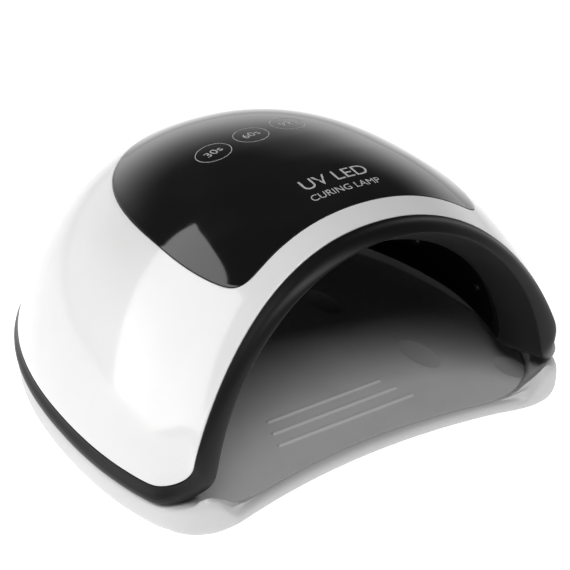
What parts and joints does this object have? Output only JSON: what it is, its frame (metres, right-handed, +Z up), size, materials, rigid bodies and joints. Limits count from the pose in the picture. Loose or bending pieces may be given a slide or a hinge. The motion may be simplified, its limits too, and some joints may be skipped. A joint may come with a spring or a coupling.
{
  "type": "uv curing lamp",
  "caption": "Domed UV/LED curing lamp with a black touch panel, a wide arched hand opening and a lift-off magnetic tray with a ribbed floor.",
  "frame": {"origin": "middle of the footprint, on the table under the foot pads", "axes": "+X across the width, +Y from the hand opening to the back, +Z up"},
  "size_m": [0.2262, 0.2215, 0.1177],
  "materials": {
    "white_gloss": "high gloss moulded",
    "white_satin": "satin moulded",
    "panel_black": "piano black gloss",
    "frame_black": "fine satin moulded",
    "liner_black": "dark matt",
    "floor_grey": "silver-grey semi-gloss",
    "lens_clear": "clear moulded lens",
    "board_green": "solder mask",
    "plated_steel": "bright plated",
    "rubber": "matt"
  },
  "bodies": {
    "tray": {"base_tray": "white_satin", "floor_plate": "floor_grey", "foot_pad_front_left": "rubber", "foot_pad_front_right": "rubber", "foot_pad_rear_left": "rubber", "foot_pad_rear_right": "rubber", "tray_magnet_front_left": "plated_steel", "tray_magnet_front_right": "plated_steel", "tray_magnet_rear_left": "plated_steel", "tray_magnet_rear_right": "plated_steel"},
    "head": {"arch_frame": "frame_black", "case_screw_front_left": "plated_steel", "case_screw_front_right": "plated_steel", "case_screw_rear_left": "plated_steel", "case_screw_rear_right": "plated_steel", "control_board": "board_green", "control_panel": "panel_black", "dc_jack": "frame_black", "digit_display": "frame_black", "hand_sensor_emitter": "lens_clear", "hand_sensor_receiver": "lens_clear", "head_magnet_front_left": "plated_steel", "head_magnet_front_right": "plated_steel", "head_magnet_rear_left": "plated_steel", "head_magnet_rear_right": "plated_steel", "led_bead_01": "lens_clear", "led_bead_02": "lens_clear", "led_bead_03": "lens_clear", "led_bead_04": "lens_clear", "led_bead_05": "lens_clear", "led_bead_06": "lens_clear", "led_bead_07": "lens_clear", "led_bead_08": "lens_clear", "led_bead_09": "lens_clear", "led_bead_10": "lens_clear", "led_bead_11": "lens_clear", "led_bead_12": "lens_clear", "led_bead_13": "lens_clear", "led_bead_14": "lens_clear", "led_bead_15": "lens_clear", "led_bead_16": "lens_clear", "led_bead_17": "lens_clear", "led_bead_18": "lens_clear", "led_bead_19": "lens_clear", "led_bead_20": "lens_clear", "led_bead_21": "lens_clear", "led_bead_22": "lens_clear", "reflector_liner": "liner_black", "top_shell": "white_gloss", "touch_spring_1": "plated_steel", "touch_spring_2": "plated_steel", "touch_spring_3": "plated_steel"}
  },
  "joints": [
    {"name": "head_lift", "type": "slide", "parent": "tray", "child": "head", "axis": [0, 0, 1], "range_m": [0, 0.15]}
  ]
}
